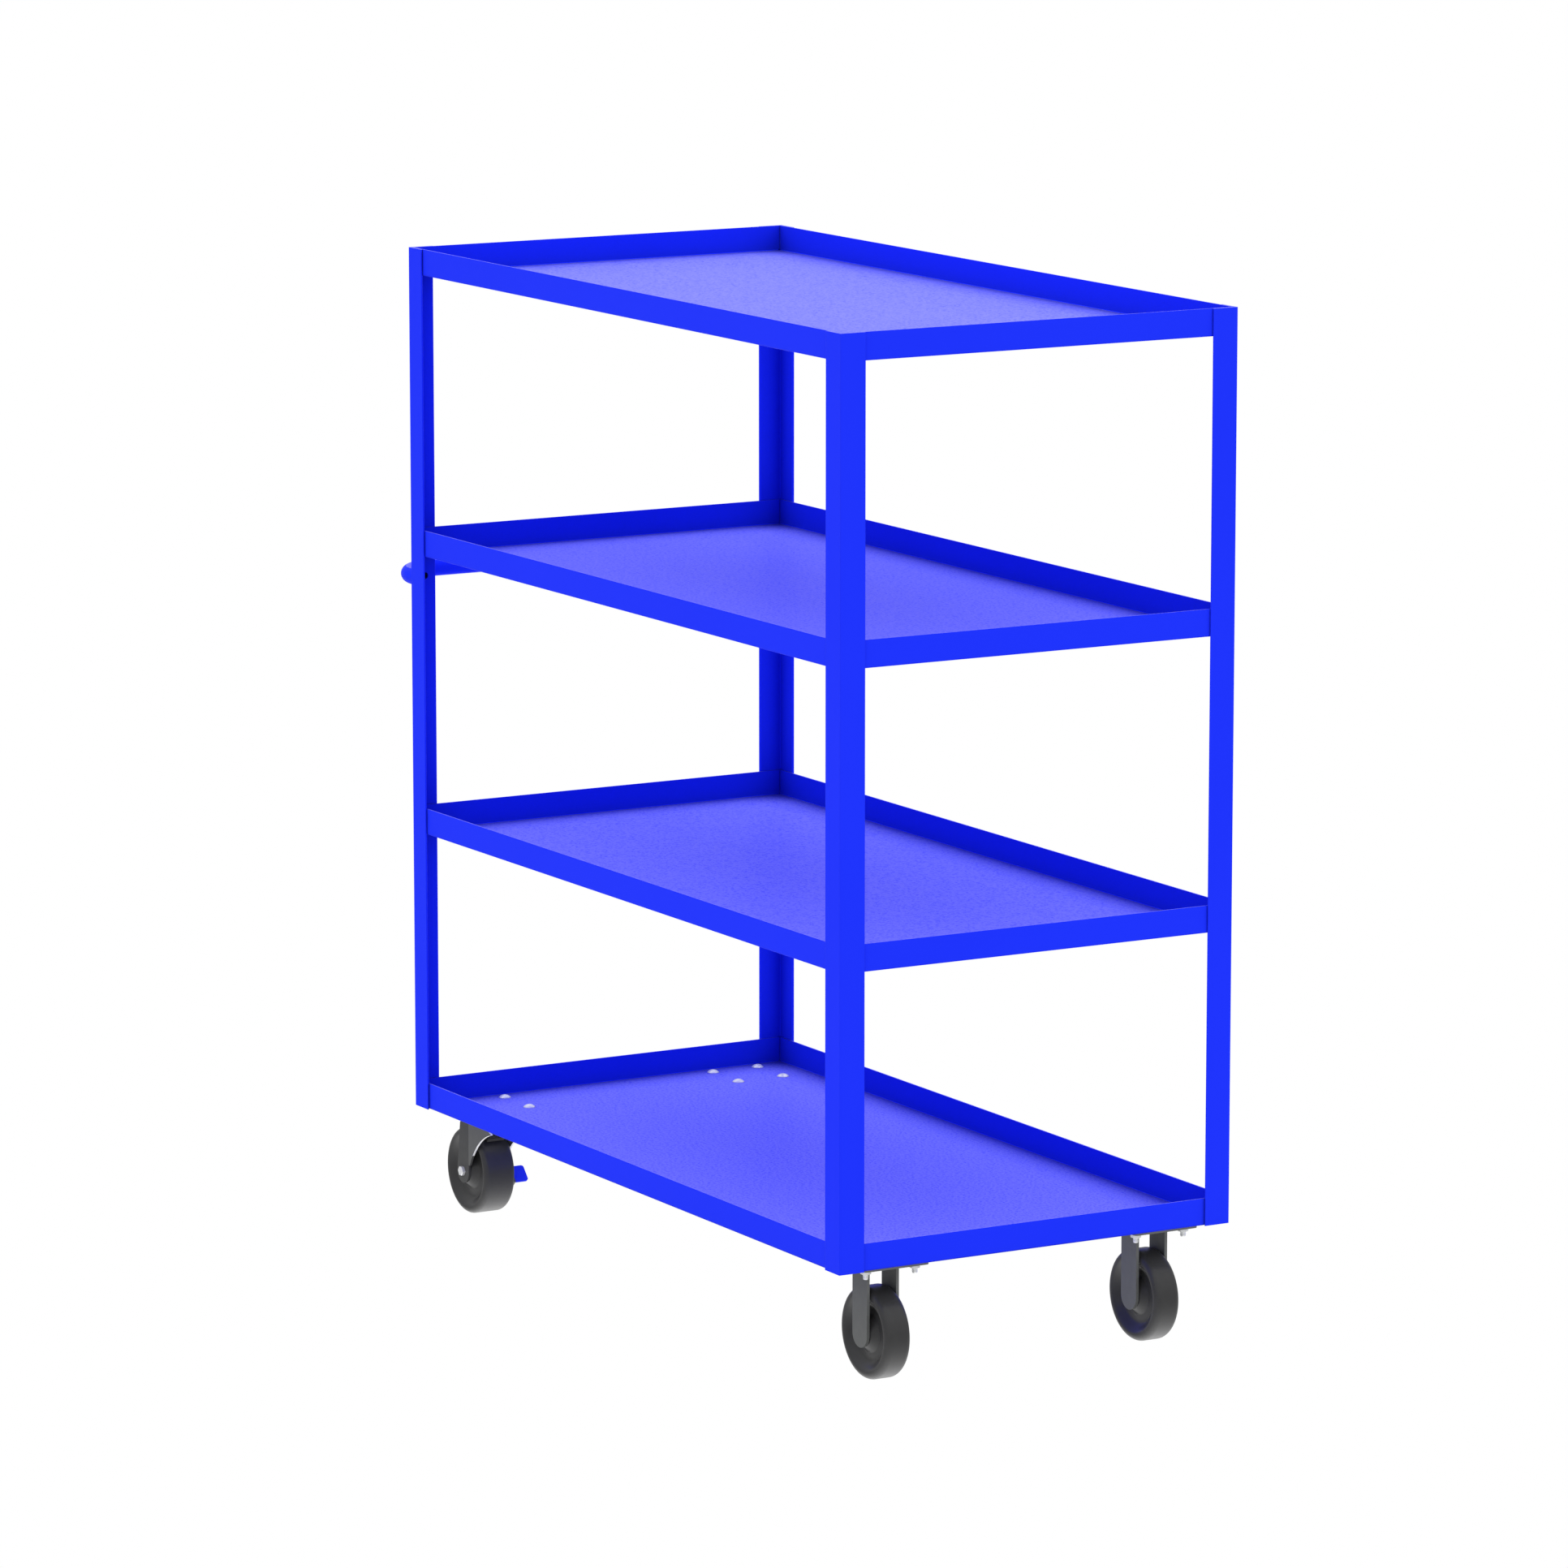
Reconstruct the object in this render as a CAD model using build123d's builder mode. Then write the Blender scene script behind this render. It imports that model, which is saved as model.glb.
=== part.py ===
from build123d import *
import os
from math import cos, radians, sin, tan

# Four-shelf steel stock cart, in millimetres. +X is the way it is pushed, +Y is its left side,
# and Z = 0 is the floor. The push handle sticks out at the rear, so the shelves stand a little
# ahead of the origin, which lies under the middle of the whole outline.

# ---- shelves and posts ----
shelf_length = 1219.2
shelf_width = 609.6
shelf_lip = 38.1            # height of the upturned lip, base included
shelf_sheet = 1.9
shelf_bend = 3.2            # outer radius where a lip turns up
shelf_pitch = 406.4         # from one shelf to the next
corner_seam = 0.6           # open seam between two lips at a corner
relief_hole = 4.0           # bend relief at each corner of a shelf
post_leg = 38.1             # angle steel, both legs alike
post_wall = 3.2
post_root = 1.5             # fillet inside the angle
post_toe = 2.6              # round on the inner edge of each leg

# ---- push handle ----
handle_tube = 25.4
handle_wall = 1.65
handle_bend = 62.5          # centreline radius
handle_reach = 93.3         # from the posts to the centreline of the bar
handle_height = 775.5       # from the underside of the bottom shelf
vent_hole = 9.5             # through a post into the end of the tube
vent_rise = 4.8             # above the centreline of the tube

# ---- casters, shared ----
wheel_radius = 63.5
caster_height = 165.1       # floor to the underside of the bottom shelf
plate_length = 114.3
plate_width = 101.6
plate_thick = 3.2
plate_corner = 6.0
plate_end_inset = 4.8       # from the end of the shelf to the plate
plate_side_inset = 40.6     # from the side of the shelf to the plate
bolt_pitch = 76.2           # square pattern
slot_run = 9.0              # how far each bolt slot runs on
slot_turn = 30.0            # degrees between a slot and the plate's long side
slot_clearance = 0.4
bore_clearance = 0.15       # bearing in its wheel
running_fit = 0.1           # shafts that turn, per side
pin_fit = 0.05              # pins, bolts and sleeves that do not turn, per side
side_gap = 0.4              # hub to leg

# ---- carriage bolts and nuts ----
bolt_shank = 7.94
bolt_length = 19.2          # under the head
bolt_head = 18.3
bolt_dome = 4.3
bolt_neck = 8.0             # square under the head
neck_clearance = 0.3
nut_flats = 12.7
nut_height = 6.75
nut_chamfer = 0.9

# ---- wheels, bearings and axles ----
rigid_tread = 39.0          # tread width of the front wheels
rigid_shoulder = 9.0
swivel_tread = 49.6         # tread width of the rear wheels
swivel_shoulder = 7.8
dish_radius = 37.0          # where the dish is deepest
dish_depth = 10.5
hub_radius = 17.0
hub_foot = 27.0             # radius where the hub rises from the dish
hub_chamfer = 1.0
roller_radius = 1.85
roller_count = 10
cage_wall = 1.3
sleeve_radius = 7.94
axle_radius = 3.97

# ---- rigid casters ----
leg_gap = 41.2              # between the legs
leg_wall = 4.4
leg_width = 38.1

# ---- swivel casters ----
trail = 42.4                # axle behind the kingpin
boss_radius = 38.0
boss_thick = 5.0
race_gap = 1.6              # boss to fork
horn_radius = 43.5
horn_thick = 5.0
ball_radius = 3.175
ball_pitch = 30.0
ball_count = 20
ball_clearance = 0.08
fork_gap = 52.6
fork_wall = 3.2
fork_end = 17.8             # radius around the axle hole
fork_flare = 4.0            # degrees that the gussets stand outwards
gusset_reach = 82.0         # along the gusset from its bend
gusset_tip = 29.0           # tip of the gusset below the mounting face
gusset_top = 52.0           # reach of the gusset where it leaves the horn
gusset_mid = 24.0           # a point on the curved front edge
gusset_mid_drop = 62.5
gusset_root = 4.0           # where the curved edge meets the leg
gusset_heel = 90.0
gusset_lap = 1.0            # gusset and leg share this much at the bend
shoulder_drop = 30.0        # where the leg has reached its full width
shoulder_top = 31.0         # half length of the leg where it leaves the horn
shoulder_back = 51.0
kingpin_radius = 6.35
kingpin_head = 12.0
kingpin_cone = 82.0         # included angle of the countersunk head
kingpin_flats = 19.05
kingpin_nut_height = 8.0
kingpin_tail = 2.9          # thread showing past the nut
thrust_gap = 0.3            # nut to horn
axle_flats = 12.7
axle_head = 5.0
lock_nut_height = 8.0
head_chamfer = 0.6
lock_nut_collar = 5.6       # radius of the locking collar
lock_nut_collar_height = 2.6
thread_show = 1.5

# ---- wheel brakes; places are taken from the axle, forward and up ----
brake_shaft_x = 8.0
brake_shaft_z = 75.0
brake_shaft_radius = 4.0
brake_shaft_head = 6.5
brake_shaft_head_thick = 2.5
shaft_head_taper = 20.0     # degrees
shaft_seat = 1.6            # blind seat for the shaft's end, inside the near leg
shaft_end_play = 0.3
brake_travel = 5.0          # degrees from released to the shoe on the tread
shoe_gap = 0.3              # left when the brake is on
shoe_thick = 6.0
shoe_half_width = 14.0
shoe_from = 52.0            # degrees around the tread
shoe_to = 84.0
arm_boss = 8.0              # radius around the shaft
arm_half_width = 10.0
arm_landing = 62.0          # degrees around the tread where the arm meets the shoe
lever_offset = 2.3          # fork leg to lever
lever_wall = 3.0
lever_eye = 8.0             # radius around the shaft
lever_tail = 10.0           # depth of the lever behind the pedal
lever_heel = 24.0           # back edge of the lever alongside the pedal
lever_neck_x = 17.5         # where the back edge turns up towards the shaft
lever_neck_z = 10.0
pedal_top_x = 26.5
pedal_top_z = 4.2
pedal_length = 26.0
pedal_slope = 47.8          # degrees down towards the toe
pedal_width = 20.9
pedal_thick = 3.0
pedal_corner = 4.0
spring_wire = 1.6
spring_radius = 6.2         # centreline of the coil
spring_turns = 5
spring_pitch = 2.0
spring_gap = 0.4            # coil to arm

# ---- worked out from the above ----
frame_length = shelf_length + 2 * post_wall
frame_width = shelf_width + 2 * post_wall
frame_height = 3 * shelf_pitch + shelf_lip
frame_x = (handle_reach + handle_tube / 2) / 2
frame_bottom = caster_height
caster_x = shelf_length / 2 - plate_end_inset - plate_length / 2
caster_y = shelf_width / 2 - plate_side_inset - plate_width / 2
axle_drop = caster_height - wheel_radius
plate_bottom = frame_bottom - plate_thick
boss_bottom = plate_bottom - boss_thick
horn_top = boss_bottom - race_gap
horn_bottom = horn_top - horn_thick
race_middle = boss_bottom - race_gap / 2
pin_grip = fork_gap / 2 + fork_wall
roller_pitch = sleeve_radius + running_fit + roller_radius
wheel_bore = roller_pitch + roller_radius + bore_clearance
axle_z = wheel_radius

ends = {"front": 1, "rear": -1}
sides = {"right": -1, "left": 1}
up = Vector(0, 0, 1)

os.makedirs("parts", exist_ok=True)


def write(piece, name):
    piece.part.label = name
    export_step(piece.part, f"parts/{name}.step")


def nearest(vertices, x, y, z=0.0):
    return vertices.sort_by_distance(Vector(x, y, z))[0]


# ---- posts ----
for end, sx in ends.items():
    for side, sy in sides.items():
        outer_x = frame_x + sx * frame_length / 2
        outer_y = sy * frame_width / 2
        toward = (Align.MAX if sx > 0 else Align.MIN, Align.MAX if sy > 0 else Align.MIN)
        with BuildPart() as post:
            with BuildSketch(Plane.XY.offset(frame_bottom)) as angle:
                with Locations((outer_x, outer_y)):
                    Rectangle(post_leg, post_leg, align=toward)
                with Locations((outer_x - sx * post_wall, outer_y - sy * post_wall)):
                    Rectangle(post_leg, post_leg, align=toward, mode=Mode.SUBTRACT)
                inner_x = outer_x - sx * post_wall
                inner_y = outer_y - sy * post_wall
                fillet(nearest(angle.vertices(), inner_x, inner_y), post_root)
                fillet(nearest(angle.vertices(), outer_x - sx * post_leg, inner_y), post_toe)
                fillet(nearest(angle.vertices(), inner_x, outer_y - sy * post_leg), post_toe)
            extrude(amount=frame_height)
            if end == "rear":
                vent_y = outer_y - sy * (post_wall + post_leg) / 2
                vent_z = frame_bottom + handle_height + vent_rise
                with Locations(Plane((outer_x, vent_y, vent_z), z_dir=(-1, 0, 0))):
                    Hole(vent_hole / 2, depth=post_wall * 2)
        write(post, f"post_{end}_{side}")


# ---- shelves: pressed pans, open side up ----
lip_inner_bend = shelf_bend - shelf_sheet


def caster_spots(which):
    """Places of the casters at one end of the cart, right then left."""
    return [(frame_x + ends[which] * caster_x, sides[side] * caster_y) for side in sides]


def lip_profile(level, out_x, out_y, reach):
    """Section of a bent lip whose outer face is reach from the middle of the shelf."""
    outward = Vector(out_x, out_y, 0)
    base = Vector(frame_x, 0, level) + outward * reach
    with BuildSketch(Plane(base, x_dir=outward, z_dir=outward.cross(up))) as profile:
        with BuildLine():
            CenterArc((-shelf_bend, shelf_bend), shelf_bend, -90, 90)
            Polyline((0, shelf_bend), (0, shelf_lip), (-shelf_sheet, shelf_lip), (-shelf_sheet, shelf_bend))
            CenterArc((-shelf_bend, shelf_bend), lip_inner_bend, 0, -90)
            Line((-shelf_bend, shelf_sheet), (-shelf_bend, 0))
        make_face()
    return profile.sketch


shelf_names = ["bottom", "lower", "upper", "top"]
for number, shelf_name in enumerate(shelf_names):
    level = frame_bottom + number * shelf_pitch
    with BuildPart() as shelf:
        with BuildSketch(Plane.XY.offset(level)):
            with Locations((frame_x, 0)):
                Rectangle(shelf_length - 2 * shelf_bend, shelf_width - 2 * shelf_bend)
        extrude(amount=shelf_sheet)
        side_run = shelf_length - 2 * (post_root + pin_fit)
        end_run = shelf_width - 2 * (shelf_sheet + corner_seam)
        for sign in (-1, 1):
            extrude(lip_profile(level, 0, sign, shelf_width / 2), amount=side_run / 2, both=True)
            extrude(lip_profile(level, sign, 0, shelf_length / 2), amount=end_run / 2, both=True)
        with BuildSketch(Plane.XY.offset(level)):
            with Locations((frame_x, 0)):
                with GridLocations(shelf_length - 2 * shelf_bend, shelf_width - 2 * shelf_bend, 2, 2):
                    Circle(relief_hole / 2)
            if shelf_name == "bottom":
                with Locations(*caster_spots("front"), *caster_spots("rear")):
                    with GridLocations(bolt_pitch, bolt_pitch, 2, 2):
                        Rectangle(bolt_neck + 2 * neck_clearance, bolt_neck + 2 * neck_clearance)
        extrude(amount=shelf_bend, mode=Mode.SUBTRACT)
    write(shelf, f"shelf_{shelf_name}")

# ---- push handle: one bent tube, welded at both ends to the rear posts ----
handle_z = frame_bottom + handle_height
handle_y = frame_width / 2 - (post_wall + post_leg) / 2
weld_x = frame_x - frame_length / 2
bar_x = weld_x - handle_reach
with BuildPart() as push_handle:
    with BuildLine():
        FilletPolyline(
            (weld_x, -handle_y, handle_z),
            (bar_x, -handle_y, handle_z),
            (bar_x, handle_y, handle_z),
            (weld_x, handle_y, handle_z),
            radius=handle_bend,
        )
    with BuildSketch(Plane((weld_x, -handle_y, handle_z), z_dir=(-1, 0, 0))):
        Circle(handle_tube / 2)
        Circle(handle_tube / 2 - handle_wall, mode=Mode.SUBTRACT)
    sweep()
write(push_handle, "push_handle")

# ---- carriage bolts and nuts, four to a caster ----
deck = frame_bottom + shelf_sheet
bolt_spots = []
for spot in caster_spots("front") + caster_spots("rear"):
    for dx in (-bolt_pitch / 2, bolt_pitch / 2):
        for dy in (-bolt_pitch / 2, bolt_pitch / 2):
            bolt_spots.append((spot[0] + dx, spot[1] + dy))

dome_radius = ((bolt_head / 2) ** 2 + bolt_dome**2) / (2 * bolt_dome)
with BuildPart() as bolt:
    with BuildSketch(Plane.XZ):
        with BuildLine():
            Polyline((bolt_head / 2, 0), (0, 0), (0, bolt_dome))
            RadiusArc((0, bolt_dome), (bolt_head / 2, 0), dome_radius)
        make_face()
    revolve(axis=Axis.Z)
    with BuildSketch():
        Rectangle(bolt_neck, bolt_neck)
    extrude(amount=-shelf_sheet)
    with BuildSketch():
        Circle(bolt_shank / 2)
    extrude(amount=-bolt_length)
    chamfer(bolt.edges().group_by(Axis.Z)[0], bolt_shank / 10)
with BuildPart() as carriage_bolts:
    with Locations(*[(x, y, deck) for x, y in bolt_spots]):
        add(bolt.part)
write(carriage_bolts, "carriage_bolts")

with BuildPart() as nut:
    with BuildSketch():
        RegularPolygon(nut_flats / 2, 6, major_radius=False)
        Circle(bolt_shank / 2 + pin_fit, mode=Mode.SUBTRACT)
    extrude(amount=-nut_height)
    with BuildSketch(Plane.XZ):
        with BuildLine():
            Polyline(
                (nut_flats / 2, -nut_height),
                (nut_flats, -nut_height),
                (nut_flats, -nut_height + nut_chamfer * 2),
                (nut_flats / 2, -nut_height),
            )
        make_face()
    revolve(axis=Axis.Z, mode=Mode.SUBTRACT)
with BuildPart() as bolt_nuts:
    with Locations(*[(x, y, plate_bottom) for x, y in bolt_spots]):
        add(nut.part)
write(bolt_nuts, "bolt_nuts")


def mounting_plate(x, y):
    """Top plate of a caster, with slots that run inwards along X and outwards along Y."""
    with BuildPart() as plate:
        with BuildSketch(Plane.XY.offset(plate_bottom)):
            with Locations((x, y)):
                RectangleRounded(plate_length, plate_width, plate_corner)
            for sx in (-1, 1):
                for sy in (-1, 1):
                    bolt_x = x + sx * bolt_pitch / 2
                    bolt_y = y + sy * bolt_pitch / 2
                    run_x = sx * slot_run * cos(radians(slot_turn))
                    run_y = -sy * slot_run * sin(radians(slot_turn))
                    SlotCenterPoint(
                        (bolt_x + run_x / 2, bolt_y + run_y / 2),
                        (bolt_x + run_x, bolt_y + run_y),
                        bolt_shank + 2 * slot_clearance,
                        mode=Mode.SUBTRACT,
                    )
        extrude(amount=plate_thick)
    return plate.part


def side_plane(x, y, z):
    """Upright plane facing the right side of the cart, with its own x forward and y up."""
    return Plane((x, y, z), x_dir=(1, 0, 0), z_dir=(0, -1, 0))


# ---- wheels, bearings and sleeves ----
def wheel_body(x, y, tread, shoulder, hub_length):
    """Moulded wheel: round-shouldered tread, dished sides and a tapered hub."""
    half = tread / 2
    crest = wheel_radius - shoulder
    web = half - dish_depth
    hub_half = hub_length / 2
    with BuildPart() as wheel:
        with BuildSketch(Plane((x, y, axle_z))):
            with BuildLine():
                Polyline(
                    (wheel_bore, 0),
                    (wheel_bore, hub_half - hub_chamfer),
                    (wheel_bore + hub_chamfer, hub_half),
                    (hub_radius, hub_half),
                    (hub_foot, web + hub_chamfer),
                )
                cone = (hub_foot - hub_radius, web + hub_chamfer - hub_half)
                Spline((hub_foot, web + hub_chamfer), (dish_radius, web), tangents=(cone, (1, 0)))
                Spline((dish_radius, web), (crest, half), tangents=((1, 0), (1, 0)))
                CenterArc((crest, half - shoulder), shoulder, 90, -90)
                Line((wheel_radius, half - shoulder), (wheel_radius, 0))
                mirror(about=Plane.XZ)
            make_face()
        revolve(axis=Axis((x, y, axle_z), (0, 1, 0)))
    return wheel


def roller_bearing(x, y, length):
    """Caged rollers around the axle sleeve."""
    with BuildPart() as bearing:
        with BuildSketch(side_plane(x, y, axle_z)):
            Circle(roller_pitch + cage_wall / 2)
            Circle(roller_pitch - cage_wall / 2, mode=Mode.SUBTRACT)
            with PolarLocations(roller_pitch, roller_count):
                Circle(roller_radius)
        extrude(amount=length / 2, both=True)
    return bearing


def axle_sleeve(x, y, length):
    """Sleeve that the legs clamp between them and the rollers run on."""
    with BuildPart() as sleeve:
        with BuildSketch(side_plane(x, y, axle_z)):
            Circle(sleeve_radius)
            Circle(axle_radius + pin_fit, mode=Mode.SUBTRACT)
        extrude(amount=length / 2, both=True)
    return sleeve


# ---- rigid casters at the front ----
for side, (x, y) in zip(sides, caster_spots("front")):
    with BuildPart() as caster_plate:
        add(mounting_plate(x, y))
    write(caster_plate, f"caster_plate_front_{side}")

    leg_height = plate_bottom - axle_z
    with BuildPart() as caster_legs:
        for sign in (-1, 1):
            with BuildSketch(side_plane(x, y + sign * (leg_gap + leg_wall) / 2, axle_z)):
                Circle(leg_width / 2)
                Rectangle(leg_width, leg_height, align=(Align.CENTER, Align.MIN))
                Circle(axle_radius + pin_fit, mode=Mode.SUBTRACT)
            extrude(amount=leg_wall / 2, both=True)
    write(caster_legs, f"caster_legs_front_{side}")

    with BuildPart() as axle_pin:
        with BuildSketch(side_plane(x, y, axle_z)):
            Circle(axle_radius)
        extrude(amount=leg_gap / 2 + leg_wall, both=True)
    write(axle_pin, f"axle_pin_front_{side}")

    hub_length = leg_gap - 2 * side_gap
    write(axle_sleeve(x, y, leg_gap), f"axle_sleeve_front_{side}")
    write(wheel_body(x, y, rigid_tread, rigid_shoulder, hub_length), f"wheel_front_{side}")
    write(roller_bearing(x, y, hub_length - 2 * hub_chamfer), f"bearing_front_{side}")


# ---- swivel casters at the rear ----
cone_drop = (kingpin_head - kingpin_radius) / tan(radians(kingpin_cone / 2))
kingpin_end = horn_bottom - thrust_gap - kingpin_nut_height - kingpin_tail
turn = radians(brake_travel)
shoe_centre = (
    brake_shaft_x - brake_shaft_x * cos(turn) + brake_shaft_z * sin(turn),
    brake_shaft_z - brake_shaft_x * sin(turn) - brake_shaft_z * cos(turn),
)
shoe_face = wheel_radius + shoe_gap
shoe_back = shoe_face + shoe_thick
arm_seat = shoe_back + pin_fit
slope = radians(pedal_slope)
pedal_top = Vector(pedal_top_x, pedal_top_z)
down_pedal = Vector(cos(slope), -sin(slope))
behind_pedal = Vector(-sin(slope), -cos(slope))
pedal_toe = pedal_top + down_pedal * pedal_length
lever_outline = [
    (brake_shaft_x + lever_eye, brake_shaft_z),
    pedal_top,
    pedal_toe,
    pedal_toe + behind_pedal * lever_tail,
    pedal_toe + behind_pedal * lever_tail - down_pedal * lever_heel,
    (lever_neck_x, lever_neck_z),
    (brake_shaft_x - lever_eye, brake_shaft_z),
]


def behind_shoe(angle):
    """Point on the arm's seat against the back of the shoe, from the axle."""
    return (
        shoe_centre[0] + arm_seat * cos(radians(angle)),
        shoe_centre[1] + arm_seat * sin(radians(angle)),
    )


for side, (x, y) in zip(sides, caster_spots("rear")):
    axle_x = x - trail

    with BuildPart() as caster_plate:
        add(mounting_plate(x, y))
        with BuildSketch(Plane.XY.offset(boss_bottom)):
            with Locations((x, y)):
                Circle(boss_radius)
        extrude(amount=boss_thick)
        with Locations((x, y, frame_bottom)):
            CounterSinkHole(kingpin_radius + pin_fit, kingpin_head + pin_fit, counter_sink_angle=kingpin_cone)
        with BuildSketch(Plane((x, y, race_middle), x_dir=(1, 0, 0), z_dir=(0, -1, 0))):
            with Locations((ball_pitch, 0)):
                Circle(ball_radius + ball_clearance)
        revolve(axis=Axis((x, y, 0), (0, 0, 1)), mode=Mode.SUBTRACT)
    write(caster_plate, f"caster_plate_rear_{side}")

    with BuildPart() as kingpin:
        with BuildSketch(side_plane(x, y, frame_bottom)):
            with BuildLine():
                Polyline(
                    (0, 0),
                    (kingpin_head, 0),
                    (kingpin_radius, -cone_drop),
                    (kingpin_radius, kingpin_end - frame_bottom),
                    (0, kingpin_end - frame_bottom),
                    close=True,
                )
            make_face()
        revolve(axis=Axis((x, y, 0), (0, 0, 1)))
    write(kingpin, f"kingpin_rear_{side}")

    with BuildPart() as kingpin_nut:
        with BuildSketch(Plane((x, y, horn_bottom - thrust_gap))):
            RegularPolygon(kingpin_flats / 2, 6, major_radius=False)
            Circle(kingpin_radius + pin_fit, mode=Mode.SUBTRACT)
        extrude(amount=-kingpin_nut_height)
    write(kingpin_nut, f"kingpin_nut_rear_{side}")

    with BuildPart() as race_balls:
        with Locations((x, y, race_middle)):
            with PolarLocations(ball_pitch, ball_count):
                Sphere(ball_radius)
    write(race_balls, f"race_balls_rear_{side}")

    bend_x = fork_end - trail
    leg_top = (horn_top + horn_bottom) / 2 - frame_bottom
    with BuildPart() as fork:
        with BuildSketch(Plane((x, y, horn_bottom))):
            Circle(horn_radius)
        extrude(amount=horn_thick)
        for sign in (-1, 1):
            inner_face = y + sign * fork_gap / 2
            with BuildSketch(side_plane(x, inner_face, frame_bottom)):
                with BuildLine():
                    Polyline(
                        (bend_x, -axle_drop),
                        (bend_x, leg_top),
                        (-shoulder_top, leg_top),
                        (-shoulder_back, -shoulder_drop),
                        (-trail - fork_end, -axle_drop),
                    )
                    CenterArc((-trail, -axle_drop), fork_end, 180, 180)
                make_face()
            extrude(amount=-sign * fork_wall)
            flare = Vector(cos(radians(fork_flare)), sign * sin(radians(fork_flare)), 0)
            gusset = Plane((x + bend_x, inner_face, frame_bottom), x_dir=flare, z_dir=flare.cross(up))
            with BuildSketch(gusset):
                with BuildLine():
                    Polyline(
                        (gusset_root, -gusset_heel),
                        (-gusset_lap, -gusset_heel),
                        (-gusset_lap, leg_top),
                        (gusset_top, leg_top),
                        (gusset_top, leg_top - horn_thick),
                        (gusset_reach, -gusset_tip),
                    )
                    ThreePointArc(
                        (gusset_reach, -gusset_tip),
                        (gusset_mid, -gusset_mid_drop),
                        (gusset_root, -gusset_heel),
                    )
                make_face()
            extrude(amount=-sign * fork_wall)
        with BuildSketch(side_plane(axle_x, y, axle_z)):
            Circle(axle_radius + pin_fit)
        extrude(amount=pin_grip, both=True, mode=Mode.SUBTRACT)
        seat_y = y - fork_gap / 2 - shaft_seat
        with BuildSketch(side_plane(axle_x + brake_shaft_x, seat_y, axle_z + brake_shaft_z)):
            Circle(brake_shaft_radius + running_fit)
        extrude(amount=-(y + pin_grip - seat_y), mode=Mode.SUBTRACT)
        with BuildSketch(Plane((x, y, horn_top))):
            Circle(kingpin_radius + running_fit)
        extrude(amount=-horn_thick, mode=Mode.SUBTRACT)
        with BuildSketch(side_plane(x, y, race_middle)):
            with Locations((ball_pitch, 0)):
                Circle(ball_radius + ball_clearance)
        revolve(axis=Axis((x, y, 0), (0, 0, 1)), mode=Mode.SUBTRACT)
    write(fork, f"fork_rear_{side}")

    with BuildPart() as axle_bolt:
        with BuildSketch(side_plane(axle_x, y - pin_grip, axle_z)):
            RegularPolygon(axle_flats / 2, 6, major_radius=False)
        extrude(amount=axle_head)
        chamfer(axle_bolt.faces().sort_by(Axis.Y)[0].edges(), head_chamfer)
        with BuildSketch(side_plane(axle_x, y - pin_grip, axle_z)):
            Circle(axle_radius)
        extrude(amount=-(2 * pin_grip + lock_nut_height + thread_show))
    write(axle_bolt, f"axle_bolt_rear_{side}")

    with BuildPart() as lock_nut:
        with BuildSketch(side_plane(axle_x, y + pin_grip, axle_z)):
            RegularPolygon(axle_flats / 2, 6, major_radius=False)
        extrude(amount=-(lock_nut_height - lock_nut_collar_height))
        with BuildSketch(side_plane(axle_x, y + pin_grip, axle_z)):
            Circle(lock_nut_collar)
        extrude(amount=-lock_nut_height)
        with BuildSketch(side_plane(axle_x, y + pin_grip, axle_z)):
            Circle(axle_radius + pin_fit)
        extrude(amount=-lock_nut_height, mode=Mode.SUBTRACT)
    write(lock_nut, f"lock_nut_rear_{side}")

    hub_length = fork_gap - 2 * side_gap
    write(axle_sleeve(axle_x, y, fork_gap), f"axle_sleeve_rear_{side}")
    write(wheel_body(axle_x, y, swivel_tread, swivel_shoulder, hub_length), f"wheel_rear_{side}")
    write(roller_bearing(axle_x, y, hub_length - 2 * hub_chamfer), f"bearing_rear_{side}")

    # ---- its brake ----
    shaft_x = axle_x + brake_shaft_x
    shaft_z = axle_z + brake_shaft_z
    shaft_start = seat_y + shaft_end_play
    lever_y = y + pin_grip + lever_offset
    with BuildPart() as brake_shaft:
        with BuildSketch(side_plane(shaft_x, shaft_start, shaft_z)):
            Circle(brake_shaft_radius)
        extrude(amount=-(lever_y + lever_wall - shaft_start))
        with BuildSketch(side_plane(shaft_x, lever_y + lever_wall, shaft_z)):
            Circle(brake_shaft_head)
        extrude(amount=-brake_shaft_head_thick, taper=shaft_head_taper)
    write(brake_shaft, f"brake_shaft_rear_{side}")

    coil_start = (shaft_x, y + arm_half_width + spring_gap + spring_wire / 2, shaft_z)
    with BuildPart() as brake_spring:
        with BuildLine():
            coil_length = spring_turns * spring_pitch
            coil = Helix(spring_pitch, coil_length, spring_radius, center=coil_start, direction=(0, 1, 0))
        with BuildSketch(Plane(coil @ 0, z_dir=coil % 0)):
            Circle(spring_wire / 2)
        sweep(path=coil, is_frenet=True)
    write(brake_spring, f"brake_spring_rear_{side}")

    with BuildPart() as brake_shoe:
        with BuildSketch(side_plane(axle_x, y, axle_z)):
            with BuildLine():
                face_arc = CenterArc(shoe_centre, shoe_face, shoe_from, shoe_to - shoe_from)
                back_arc = CenterArc(shoe_centre, shoe_back, shoe_from, shoe_to - shoe_from)
                Line(face_arc @ 0, back_arc @ 0)
                Line(face_arc @ 1, back_arc @ 1)
            make_face()
        extrude(amount=shoe_half_width, both=True)
    write(brake_shoe, f"brake_shoe_rear_{side}")

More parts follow.
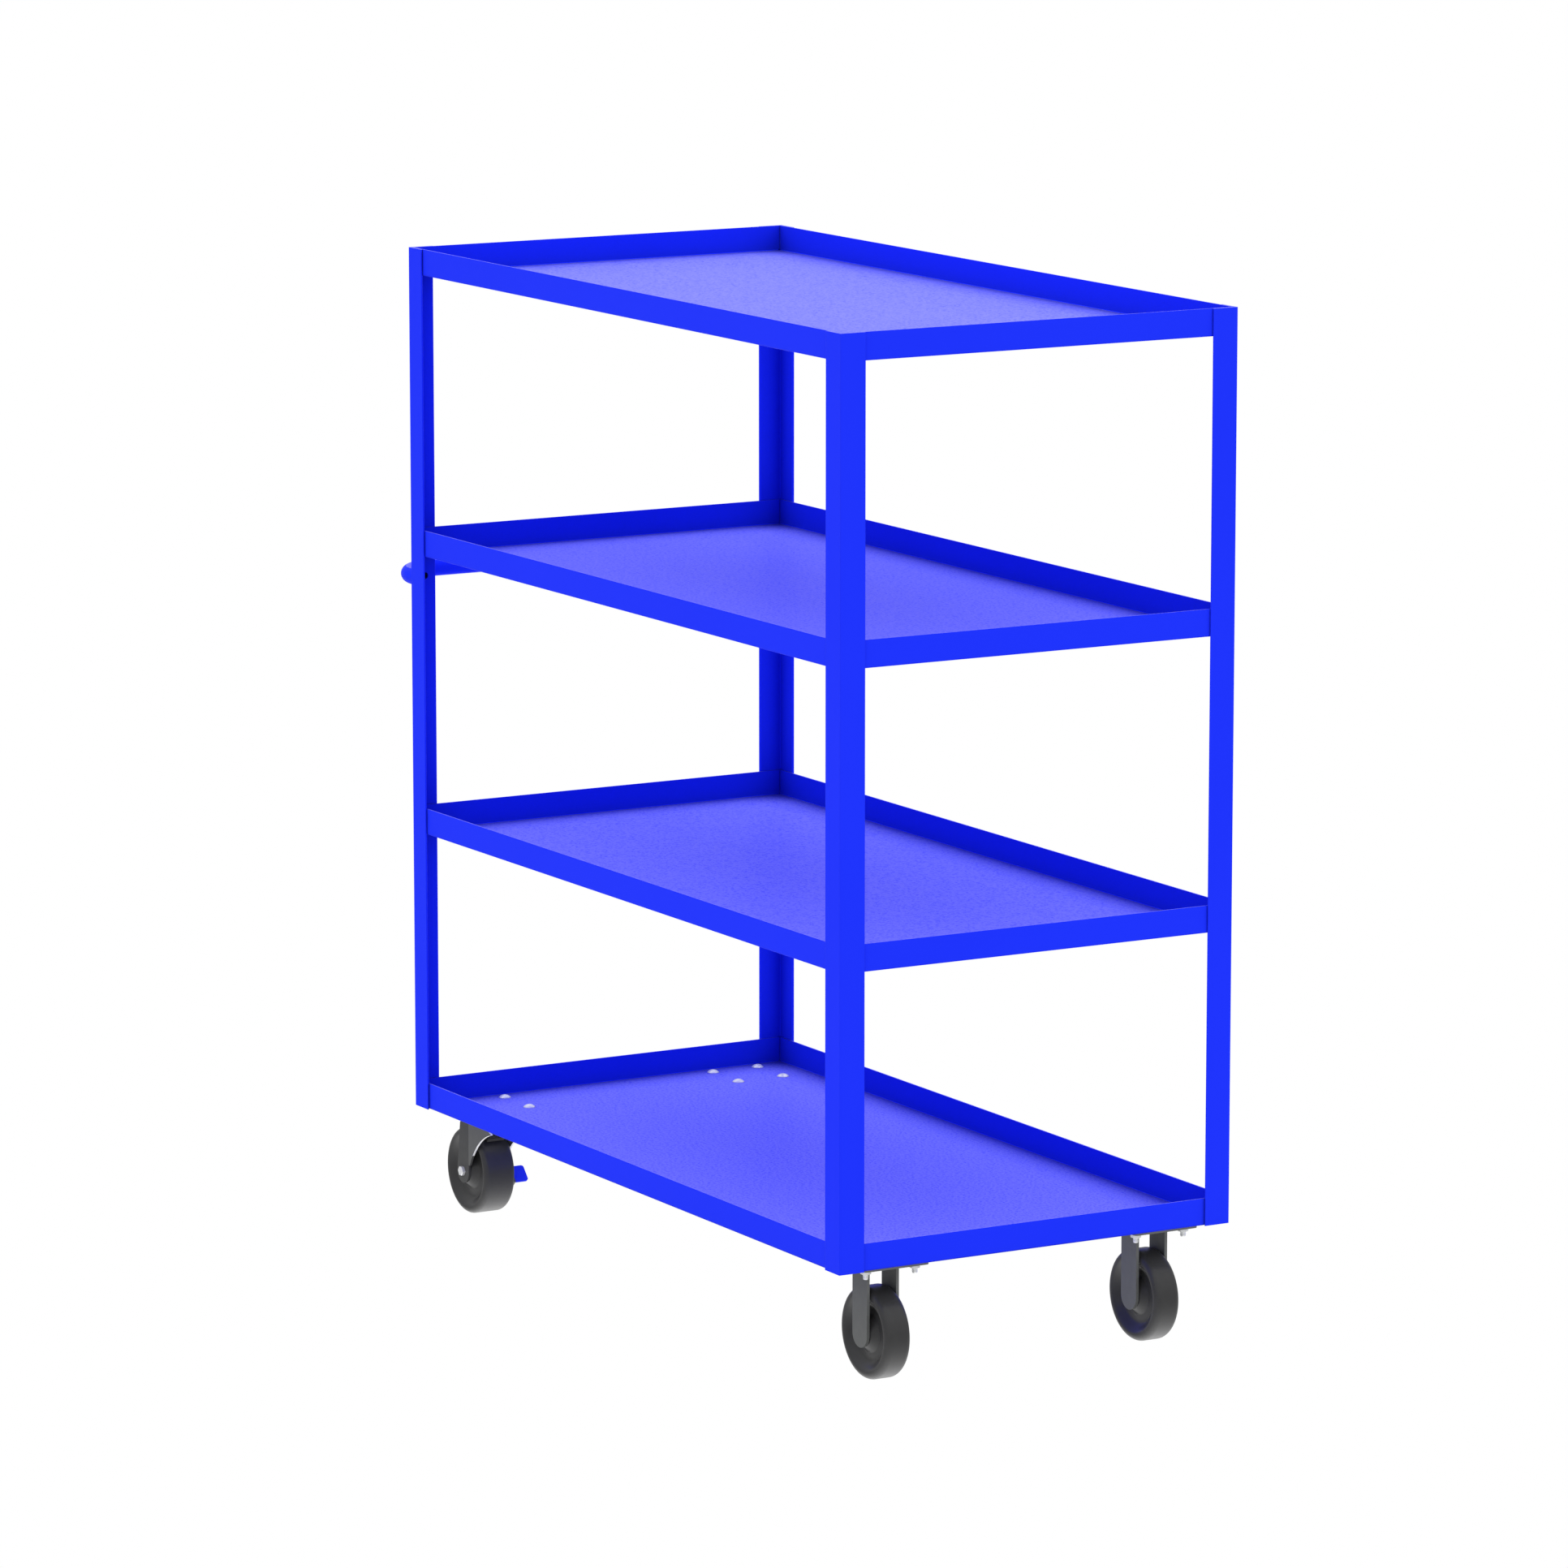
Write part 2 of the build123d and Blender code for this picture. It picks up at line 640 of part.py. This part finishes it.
    with BuildPart() as brake_arm:
        with BuildSketch(side_plane(axle_x, y, axle_z)):
            with BuildLine():
                CenterArc(shoe_centre, arm_seat, arm_landing, shoe_to - arm_landing)
                Polyline(
                    behind_shoe(shoe_to),
                    (brake_shaft_x, brake_shaft_z),
                    (brake_shaft_x, brake_shaft_z + arm_boss),
                    behind_shoe(arm_landing),
                )
            make_face()
            with Locations((brake_shaft_x, brake_shaft_z)):
                Circle(arm_boss)
                Circle(brake_shaft_radius + pin_fit, mode=Mode.SUBTRACT)
        extrude(amount=arm_half_width, both=True)
    write(brake_arm, f"brake_arm_rear_{side}")

    with BuildPart() as brake_lever:
        with BuildSketch(side_plane(axle_x, lever_y, axle_z)):
            with BuildLine():
                Polyline(*lever_outline, close=True)
            make_face()
            with Locations((brake_shaft_x, brake_shaft_z)):
                Circle(lever_eye)
                Circle(brake_shaft_radius + pin_fit, mode=Mode.SUBTRACT)
        extrude(amount=-lever_wall)
    write(brake_lever, f"brake_lever_rear_{side}")

    pedal_plane = Plane(
        (axle_x + pedal_top_x, lever_y + lever_wall, axle_z + pedal_top_z),
        x_dir=(down_pedal.X, 0, down_pedal.Y),
        z_dir=(-down_pedal.Y, 0, down_pedal.X),
    )
    with BuildPart() as brake_pedal:
        with BuildSketch(pedal_plane):
            Rectangle(pedal_length, pedal_width, align=(Align.MIN, Align.MIN))
        extrude(amount=-pedal_thick)
        corners = brake_pedal.edges().filter_by(lambda edge: abs(edge.length - pedal_thick) < pin_fit)
        fillet(corners.group_by(Axis.Y)[-1], pedal_corner)
    write(brake_pedal, f"brake_pedal_rear_{side}")
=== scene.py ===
import bmesh
import bpy
import numpy as np
from math import cos, radians, sin
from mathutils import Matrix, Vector


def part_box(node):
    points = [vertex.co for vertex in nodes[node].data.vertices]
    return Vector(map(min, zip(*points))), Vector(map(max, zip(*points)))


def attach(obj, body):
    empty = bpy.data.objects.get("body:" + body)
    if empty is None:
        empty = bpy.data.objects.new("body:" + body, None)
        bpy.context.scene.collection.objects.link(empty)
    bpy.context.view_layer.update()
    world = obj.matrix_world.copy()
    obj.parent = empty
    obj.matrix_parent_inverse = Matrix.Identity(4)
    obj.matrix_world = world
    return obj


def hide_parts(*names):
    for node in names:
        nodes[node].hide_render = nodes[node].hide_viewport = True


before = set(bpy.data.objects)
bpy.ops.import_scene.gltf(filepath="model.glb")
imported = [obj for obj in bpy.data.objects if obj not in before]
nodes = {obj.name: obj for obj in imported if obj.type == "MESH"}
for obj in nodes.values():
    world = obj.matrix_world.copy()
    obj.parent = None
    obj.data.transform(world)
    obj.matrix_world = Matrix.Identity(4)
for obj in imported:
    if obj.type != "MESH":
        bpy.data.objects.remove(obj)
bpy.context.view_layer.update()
print("frame loaded:", len(nodes), "nodes")


class Wire:
    # one output socket; sums on it add Math nodes
    def __init__(self, graph, socket):
        self.graph = graph
        self.socket = socket

    def maths(self, operation, *values):
        return self.graph.node("Math", {"operation": operation}, dict(enumerate(values)))

    def __add__(self, other):
        return self.maths("ADD", self, other)

    def __sub__(self, other):
        return self.maths("SUBTRACT", self, other)

    def __rsub__(self, other):
        return self.maths("SUBTRACT", other, self)

    def __mul__(self, other):
        return self.maths("MULTIPLY", self, other)

    def __gt__(self, other):
        return self.maths("GREATER_THAN", self, other)

    def __lt__(self, other):
        return self.maths("LESS_THAN", self, other)

    __radd__ = __add__


class Graph:
    # the nodes of one material or of the world
    def __init__(self, owner):
        self.owner = owner
        owner.use_nodes = True
        self.tree = owner.node_tree
        self.tree.nodes.clear()

    def node(self, kind, settings=None, inputs=None, out=0):
        made = self.tree.nodes.new("ShaderNode" + kind)
        for key, value in (settings or {}).items():
            setattr(made, key, value)
        for key, value in (inputs or {}).items():
            if isinstance(value, Wire):
                self.tree.links.new(value.socket, made.inputs[key])
            else:
                made.inputs[key].default_value = value
        return Wire(self, made.outputs[out]) if made.outputs else None

    def places(self):
        return self.node("TexCoord", out="Object")

    def part(self, vector, axis):
        return self.node("SeparateXYZ", {}, {0: vector}, axis)

    def noise(self, scale, detail=2.0, rough=0.5):
        inputs = {"Vector": self.places(), "Scale": scale, "Detail": detail, "Roughness": rough}
        return self.node("TexNoise", {}, inputs, "Fac")

    def swing(self, scale, detail, rough, reach):
        # noise that swings either side of nothing
        return (self.noise(scale, detail, rough) - 0.5) * reach

    def between(self, factor, first, second):
        inputs = {"Fac": factor, "Color1": first, "Color2": second}
        return self.node("MixRGB", {}, inputs)

    def facing(self, axis):
        # how far the surface faces along one axis of the object, either way
        along = self.part(self.node("TexCoord", out="Normal"), axis)
        return along.maths("ABSOLUTE", along)

    def openness(self, reach):
        # 1 on open faces, less in corners and under ledges
        return self.node("AmbientOcclusion", {"samples": 8}, {"Distance": reach}, "AO")

    def bump(self, height, distance, strength, edge):
        # edge is the radius that a sharp edge is rounded to
        rounded = self.node("Bevel", {"samples": 6}, {"Radius": edge})
        inputs = {"Height": height, "Distance": distance, "Strength": strength, "Normal": rounded}
        return self.node("Bump", {}, inputs)

    def finish(self, inputs):
        shader = self.node("BsdfPrincipled", {}, inputs)
        self.node("OutputMaterial", {}, {"Surface": shader})
        return self.owner


def colour(red, green, blue):
    return (red, green, blue, 1.0)


# lengths are in metres and noise scales in cells per metre
powderCoat = {
    "blue": colour(0.014, 0.036, 1.0),
    "deepBlue": colour(0.012, 0.032, 0.95),
    "patches": 3.0,          # where the one blue passes into the other
    "rough": 0.42,
    "smears": 60.0,          # unevenness of the gloss
    "smearReach": 0.08,
    "ior": 1.06,
    "sheen": 0.1,            # fine haze that pales it where it is seen edge on
    "sheenRough": 0.25,
    "grain": 900.0,          # orange peel
    "grainDepth": 0.00012,
    "grainPull": 0.6,
    "edge": 0.0007,          # the coat pulls round every cut edge
    "paintedSheen": colour(0.2, 0.21, 1.0),          # painted sheen: a paler blue painted on level faces for the reflection they show edge on
    "levelFrom": 0.9,        # a face that points this much up or down is level
    "paintedSheenShare": 0.9,          # share of a level face that the painted sheen covers
    "speck": 240.0,          # and how it speckles
    "speckPull": 3.0,
    "corner": colour(0.004, 0.01, 0.3),      # painted shade: a dull dark blue painted deep in corners and under ledges, where shade falls
    "cornerReach": 0.45,
    "cornerFrom": 0.34,      # upright faces this much shut in still get no painted shade
    "paintedShadeLipReach": 0.07,        # the thin band of a level face beside a lip that gets painted shade
    "cornerPull": 1.5,
}
# the blue coat again for the brake pedal, painted lighter to make up for the shade it hangs in, with
# a less pale painted sheen and no painted shade
pedalCoatPaintedLighter = dict(
    powderCoat,
    blue=colour(0.035, 0.065, 1.0),
    deepBlue=colour(0.03, 0.06, 1.0),
    paintedSheen=colour(0.06, 0.09, 1.0),
    cornerPull=0.0,
)


def makePowderCoat(name, look):
    graph = Graph(bpy.data.materials.new(name))
    peel = graph.noise(look["grain"], 2.0, 0.6)
    coat = graph.between(graph.noise(look["patches"], 3.0), look["blue"], look["deepBlue"])
    level = graph.facing("Z") > look["levelFrom"]
    specks = look["paintedSheenShare"] + graph.swing(look["speck"], 2.0, 0.7, look["speckPull"])
    # painted sheen: level faces are painted a paler blue, in specks, for the reflection they show
    # edge on
    paintedSheenCoat = graph.between(level * specks, coat, look["paintedSheen"])
    # painted shade: the coat is painted darker where the surface is shut in, on upright faces and in
    # the band of a level face beside a lip
    upright = (1 - level) * (1 - look["cornerFrom"] - graph.openness(look["cornerReach"]))
    besideLip = level * (1 - graph.openness(look["paintedShadeLipReach"]))
    paintedShadeShare = (upright + besideLip) * look["cornerPull"]
    return graph.finish({
        "Base Color": graph.between(paintedShadeShare, paintedSheenCoat, look["corner"]),
        "Roughness": look["rough"] + graph.swing(look["smears"], 2.0, 0.5, look["smearReach"]),
        "IOR": look["ior"],
        "Sheen Weight": look["sheen"],
        "Sheen Roughness": look["sheenRough"],
        "Normal": graph.bump(peel, look["grainDepth"], look["grainPull"], look["edge"]),
    })


# light and dark are the two ends of the plating's cloudiness; the flared tone is painted light, a
# lighter tone on a face turned a little forwards or back where it takes more light; and the cut tone
# is a bare sheared edge painted lighter as a highlight, found where the surface faces less than
# cutFrom to the side
plating = {
    "rigid": {
        "light": colour(0.148, 0.152, 0.149), "dark": colour(0.126, 0.13, 0.128),
        "flarePaintedLight": colour(0.148, 0.152, 0.149), "cutEdgeHighlight": colour(0.16, 0.165, 0.163),
        "cutFrom": 0.5, "rough": 0.5, "metal": 0.1, "ior": 1.12,
    },
    "swivel": {
        "light": colour(0.086, 0.087, 0.087), "dark": colour(0.07, 0.071, 0.071),
        "flarePaintedLight": colour(0.128, 0.131, 0.129), "cutEdgeHighlight": colour(1, 1, 1),
        "cutFrom": 0.5, "rough": 0.45, "metal": 0.1, "ior": 1.15,
    },
    "bright": {
        "light": colour(0.86, 0.87, 0.88), "dark": colour(0.7, 0.71, 0.73),
        "flarePaintedLight": colour(0.86, 0.87, 0.88), "cutEdgeHighlight": colour(0.86, 0.87, 0.88),
        "cutFrom": 0.0, "rough": 0.3, "metal": 0.35, "ior": 1.45,
    },
    "ground": {
        "light": colour(0.62, 0.62, 0.63), "dark": colour(0.52, 0.52, 0.53),
        "flarePaintedLight": colour(0.62, 0.62, 0.63), "cutEdgeHighlight": colour(0.62, 0.62, 0.63),
        "cutFrom": 0.0, "rough": 0.2, "metal": 1.0, "ior": 1.45,
    },
}
plateDetail = {
    "cloud": 90.0,
    "spangle": 260.0,
    "spangleReach": 0.16,
    "brush": 1400.0,
    "brushDepth": 0.00002,
    "brushPull": 0.5,
    "edge": 0.0004,
    "flare": 0.03,           # a face turned at least this far forwards or back counts as flared and is painted lighter
    "cutAbove": 0.092,       # bare cut edges, painted lighter as a highlight, begin above the wheel's middle
}


def makePlating(name, look, detail):
    graph = Graph(bpy.data.materials.new(name))
    plated = graph.between(graph.noise(detail["cloud"], 3.0), look["light"], look["dark"])
    # painted light: a face turned a little forwards or back gets a lighter tone, much lighter on the
    # swivel fork
    flarePaintedLight = (graph.facing("X") > detail["flare"]) * (graph.facing("Y") > look["cutFrom"])
    plated = graph.between(flarePaintedLight, plated, look["flarePaintedLight"])
    height = graph.part(graph.places(), "Z")
    # bare sheared edges are painted lighter as a painted highlight, white on the swivel fork
    shearedHighlight = (graph.facing("Y") < look["cutFrom"]) * (height > detail["cutAbove"])
    brushed = graph.noise(detail["brush"])
    return graph.finish({
        "Base Color": graph.between(shearedHighlight, plated, look["cutEdgeHighlight"]),
        "Metallic": look["metal"],
        "IOR": look["ior"],
        "Roughness": look["rough"] + graph.swing(detail["spangle"], 4.0, 0.6, detail["spangleReach"]),
        "Normal": graph.bump(brushed, detail["brushDepth"], detail["brushPull"], detail["edge"]),
    })


mouldedRubber = {
    "wheel": {
        "fresh": colour(0.033, 0.033, 0.034), "worn": colour(0.041, 0.041, 0.042),
        "rough": 0.3, "ior": 1.38,
    },
    "shoe": {
        "fresh": colour(0.03, 0.03, 0.03), "worn": colour(0.045, 0.044, 0.043),
        "rough": 0.7, "ior": 1.3,
    },
}
rubberDetail = {
    "bloom": 120.0,          # where fresh rubber passes into worn
    "scuffs": 300.0,
    "scuffReach": 0.1,
    "pores": 1600.0,
    "poreDepth": 0.00002,
    "porePull": 0.5,
    "edge": 0.0004,
}


def makeRubber(name, look, detail):
    graph = Graph(bpy.data.materials.new(name))
    pores = graph.noise(detail["pores"], 3.0, 0.6)
    return graph.finish({
        "Base Color": graph.between(graph.noise(detail["bloom"], 4.0), look["fresh"], look["worn"]),
        "Roughness": look["rough"] + graph.swing(detail["scuffs"], 3.0, 0.5, detail["scuffReach"]),
        "IOR": look["ior"],
        "Normal": graph.bump(pores, detail["poreDepth"], detail["porePull"], detail["edge"]),
    })


finishes = {
    "paint": makePowderCoat("blue powder coat", powderCoat),
    "pedal": makePowderCoat("brake pedal powder coat painted lighter", pedalCoatPaintedLighter),
    "wheel": makeRubber("moulded wheel rubber", mouldedRubber["wheel"], rubberDetail),
    "shoe": makeRubber("brake shoe rubber", mouldedRubber["shoe"], rubberDetail),
}
for tone in plating:
    finishes[tone] = makePlating(tone + " plated steel", plating[tone], plateDetail)

# the first entry that a node's name starts with gives its finish
nodeFinishes = {
    "post_": "paint", "shelf_": "paint", "push_handle": "paint", "brake_pedal": "pedal",
    "carriage_bolts": "bright", "bolt_nuts": "bright", "axle_bolt": "bright",
    "lock_nut": "bright", "kingpin": "bright", "brake_shaft": "bright",
    "caster_plate_rear": "swivel", "fork": "swivel",
    "brake_lever": "rigid", "brake_arm": "rigid", "caster_plate_front": "rigid",
    "caster_legs": "rigid", "axle_pin": "rigid",
    "bearing": "ground", "axle_sleeve": "ground", "race_balls": "ground",
    "brake_spring": "ground", "wheel_": "wheel", "brake_shoe": "shoe",
}


def finishOf(name):
    return finishes[next(nodeFinishes[start] for start in nodeFinishes if name.startswith(start))]


for nodeName, piece in nodes.items():
    piece.data.materials.clear()
    piece.data.materials.append(finishOf(nodeName))
print("finishes on", len(nodes), "nodes")


def turnedPiece(name, radii, along, centres, axis, instead, body):
    # A surface turned about a line: row i stands at along[i] on the line from each centre,
    # and radii[i, j] is its distance from the line at angle j. Rows join up end to end.
    centres = np.atleast_2d(np.asarray(centres, float))
    axis = np.asarray(axis, float)
    across = np.cross(axis, (1.0, 0.0, 0.0))
    rise = np.cross(axis, across)
    rows, turns = radii.shape
    angle = np.linspace(0, 2 * np.pi, turns, endpoint=False)
    spoke = np.cos(angle)[:, None] * across + np.sin(angle)[:, None] * rise
    surface = radii[:, :, None] * spoke[None] + along[:, None, None] * axis
    points = (centres[:, None, None, :] + surface[None]).reshape(-1, 3)
    here = np.arange(rows * turns).reshape(rows, turns)
    lower, upper = here[:-1], here[1:]
    quads = np.stack([lower, np.roll(lower, -1, 1), np.roll(upper, -1, 1), upper], axis=-1)
    starts = np.arange(len(centres)) * rows * turns
    faces = (quads.reshape(1, -1, 4) + starts[:, None, None]).reshape(-1, 4)
    mesh = bpy.data.meshes.new(name)
    mesh.from_pydata(points.tolist(), [], faces.tolist())
    joined = bmesh.new()
    joined.from_mesh(mesh)
    bmesh.ops.remove_doubles(joined, verts=joined.verts, dist=1e-7)
    bmesh.ops.recalc_face_normals(joined, faces=joined.faces)
    joined.to_mesh(mesh)
    joined.free()
    mesh.polygons.foreach_set("use_smooth", [True] * len(mesh.polygons))
    made = bpy.data.objects.new(name, mesh)
    bpy.context.scene.collection.objects.link(made)
    made.data.materials.append(finishOf(instead))
    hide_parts(instead)
    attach(made, body)


corners = [(end, side) for end in ("front", "rear") for side in ("right", "left")]

wheels = {
    "radius": 0.0635,
    "tread": {"front": 0.039, "rear": 0.0496},
    "shoulder": {"front": 0.009, "rear": 0.0078},
    "dishDepth": 0.0105,
    "dishRadius": 0.037,     # where the dish is deepest
    "hubRadius": 0.017,
    "hubFoot": 0.027,        # where the hub rises from the dish
    "hubEdge": 0.001,
    "boreGap": 0.00015,
    "turns": 192,
    "steps": 14,             # points on each curve of the section
}


def easeBetween(first, second, steps):
    # radius runs evenly and the offset eases in and out, so both ends lie flat
    share = np.linspace(0, 1, steps)
    ease = share * share * (3 - 2 * share)
    return np.stack([
        first[0] + (second[0] - first[0]) * share,
        first[1] + (second[1] - first[1]) * ease,
    ], 1)


def wheelSection(look, half, bore, hubHalf, shoulder):
    # half of the section, from the bore round the hub, dish and shoulder to the tread's middle
    web = half - look["dishDepth"]
    crest = look["radius"] - shoulder
    edge = look["hubEdge"]
    foot = (look["hubFoot"], web + edge)
    deepest = (look["dishRadius"], web)
    hub = [(bore, 0), (bore, hubHalf - edge), (bore + edge, hubHalf), (look["hubRadius"], hubHalf)]
    cone = [(look["hubRadius"] + edge / 3, hubHalf - edge / 6), foot]
    bowl = easeBetween(foot, deepest, look["steps"] // 2)
    rim = easeBetween(deepest, (crest, half), look["steps"])
    turn = np.linspace(np.pi / 2, 0, look["steps"])
    rounded = np.stack([
        crest + shoulder * np.cos(turn),
        half - shoulder + shoulder * np.sin(turn),
    ], 1)
    tread = [(look["radius"], half / 2), (look["radius"], 0)]
    return np.concatenate([hub, cone, bowl[1:], rim[1:], rounded[1:], tread])


def makeWheels(look):
    for end, side in corners:
        node = f"wheel_{end}_{side}"
        low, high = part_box(node)
        middle = [(a + b) / 2 for a, b in zip(low, high)]
        hubHalf = (high[1] - low[1]) / 2
        bearingLow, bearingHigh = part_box(f"bearing_{end}_{side}")
        bore = (bearingHigh[0] - bearingLow[0]) / 2 + look["boreGap"]
        section = wheelSection(look, look["tread"][end] / 2, bore, hubHalf, look["shoulder"][end])
        ring = np.concatenate([section, section[::-1][1:] * (1, -1)])
        radii = np.repeat(ring[:, :1], look["turns"], axis=1)
        turnedPiece(f"{node}_moulding", radii, ring[:, 1], middle, (0, 1, 0), node, f"{node}_body")
    print("wheels moulded")


makeWheels(wheels)

threads = {
    "pitch": 0.00141,
    "depth": 0.0008,
    "rowsPerTurn": 9,
    "turns": 32,
}
carriageBolt = {
    "headRadius": 0.00915,
    "dome": 0.0043,
    "domeRows": 12,
    "neck": 0.004,           # half the square
    "neckLength": 0.0019,
    "shank": 0.00397,
    "plain": 0.006,          # shank left plain under the neck
    "length": 0.0192,
    "pitch": 0.0762,         # between the bolts of one caster, both ways
}


def polygonShare(sides, turns):
    # how far the flat of a regular polygon stands out at each angle, against its flats
    angle = np.linspace(0, 2 * np.pi, turns, endpoint=False)
    step = 2 * np.pi / sides
    return 1 / np.cos((angle + step / 2) % step - step / 2)


def threadRows(look, start, finish, radius):
    # a wave down the shank that slips round by one pitch in each turn
    rows = int((finish - start) / look["pitch"] * look["rowsPerTurn"]) + 2
    along = np.linspace(start, finish, rows)
    angle = np.linspace(0, 1, look["turns"], endpoint=False)
    wave = 0.5 + 0.5 * np.cos(2 * np.pi * (along[:, None] / look["pitch"] - angle[None, :]))
    fade = np.clip((finish - along) / look["pitch"], 0, 1)[:, None]
    return along, radius - look["depth"] * (wave * fade + 1 - fade)


def boltSpots(look):
    # four bolts stand in a square about the middle of each caster plate
    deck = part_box("carriage_bolts")[1][2] - look["dome"]
    spots = []
    for end, side in corners:
        low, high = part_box(f"caster_plate_{end}_{side}")
        for dx in (-1, 1):
            for dy in (-1, 1):
                spots.append((
                    (low[0] + high[0]) / 2 + dx * look["pitch"] / 2,
                    (low[1] + high[1]) / 2 + dy * look["pitch"] / 2,
                    deck,
                ))
    return spots


def makeCarriageBolts(look, thread):
    # dome as a slice of a ball, square neck, plain shank, then the thread down to its end
    ball = (look["headRadius"] ** 2 + look["dome"] ** 2) / (2 * look["dome"])
    domeRadius = np.linspace(0, look["headRadius"], look["domeRows"])
    domeAlong = (ball - look["dome"]) - np.sqrt(ball**2 - domeRadius**2)
    even = np.ones(thread["turns"])
    square = polygonShare(4, thread["turns"])
    down, threaded = threadRows(thread, look["plain"], look["length"], look["shank"])
    radii = np.concatenate([
        domeRadius[:, None] * even,
        [look["neck"] * square, look["neck"] * square],
        [look["shank"] * even, look["shank"] * even],
        threaded,
        [0 * even],
    ])
    along = np.concatenate([
        domeAlong,
        [0, look["neckLength"], look["neckLength"], look["plain"]],
        down,
        [look["length"]],
    ])
    spots = boltSpots(look)
    turnedPiece("carriage_bolts_turned", radii, along, spots, (0, 0, -1), "carriage_bolts", "frame")
    print("bolts threaded")


makeCarriageBolts(carriageBolt, threads)

studio = {
    "floorHalf": 40.0,
    "horizon": 0.3,          # sky light on the object, low down
    "overhead": 1.7,         # and how much more straight above
    "mirrorSide": 0.4,       # what the gloss sees: level, above and below
    "mirrorAbove": 0.8,
    "mirrorBelow": 2.6,
    "cameraPlace": (9.4081, -5.4259, 2.6139),
    "cameraTurn": 60.0705,   # degrees round from the front of the right side
    "cameraTilt": 9.9973,    # degrees above the horizon
    "cameraFar": 200.0,
    "lens": 179.86,
    "sensor": 36.0,
}


def makeFloor(look):
    # A flat square grid of one cell. It glows white to the eye and to the light, and is clear
    # to the gloss, which sees the sky's own lower half.
    half = look["floorHalf"]
    mesh = bpy.data.meshes.new("studioFloor")
    edges = [(-half, -half, 0), (half, -half, 0), (half, half, 0), (-half, half, 0)]
    mesh.from_pydata(edges, [], [(0, 1, 2, 3)])
    floor = bpy.data.objects.new("studioFloor", mesh)
    bpy.context.scene.collection.objects.link(floor)
    graph = Graph(bpy.data.materials.new("pale floor"))
    mirrored = graph.node("LightPath", out="Is Glossy Ray")
    glow = graph.node("Emission", {}, {"Color": colour(1, 1, 1), "Strength": 1.0})
    clear = graph.node("BsdfTransparent", {}, {"Color": colour(1, 1, 1)})
    mixed = graph.node("MixShader", {}, {0: mirrored, 1: glow, 2: clear})
    graph.node("OutputMaterial", {}, {"Surface": mixed})
    mesh.materials.append(graph.owner)


def makeSky(look):
    # a soft overhead light that fades towards the horizon, on a white background
    world = bpy.data.worlds.new("studio")
    graph = Graph(world)
    height = graph.part(graph.node("TexCoord", out="Generated"), "Z")
    above = height.maths("MAXIMUM", height, 0.0)
    below = height.maths("MAXIMUM", 0 - height, 0.0)
    soft = look["horizon"] + above * look["overhead"]
    gloss = look["mirrorSide"] + above * look["mirrorAbove"] + below * below * look["mirrorBelow"]
    seen = graph.node("LightPath", out="Is Camera Ray")
    mirrored = graph.node("LightPath", out="Is Glossy Ray")
    strength = soft * (1 - seen) * (1 - mirrored) + seen + gloss * mirrored
    light = graph.node("Background", {}, {"Color": colour(1, 1, 1), "Strength": strength})
    graph.node("OutputWorld", {}, {"Surface": light})
    bpy.context.scene.world = world


def makeCamera(look):
    turn, tilt = radians(look["cameraTurn"]), radians(look["cameraTilt"])
    back = Vector((sin(turn) * cos(tilt), -cos(turn) * cos(tilt), sin(tilt)))
    lens = bpy.data.cameras.new("camera")
    lens.lens = look["lens"]
    lens.sensor_width = look["sensor"]
    lens.clip_end = look["cameraFar"]
    camera = bpy.data.objects.new("camera", lens)
    bpy.context.scene.collection.objects.link(camera)
    camera.location = look["cameraPlace"]
    camera.rotation_euler = back.to_track_quat("Z", "Y").to_euler()
    bpy.context.scene.camera = camera


makeFloor(studio)
makeSky(studio)
makeCamera(studio)
bpy.context.scene.view_settings.view_transform = "Standard"
print("studio ready")
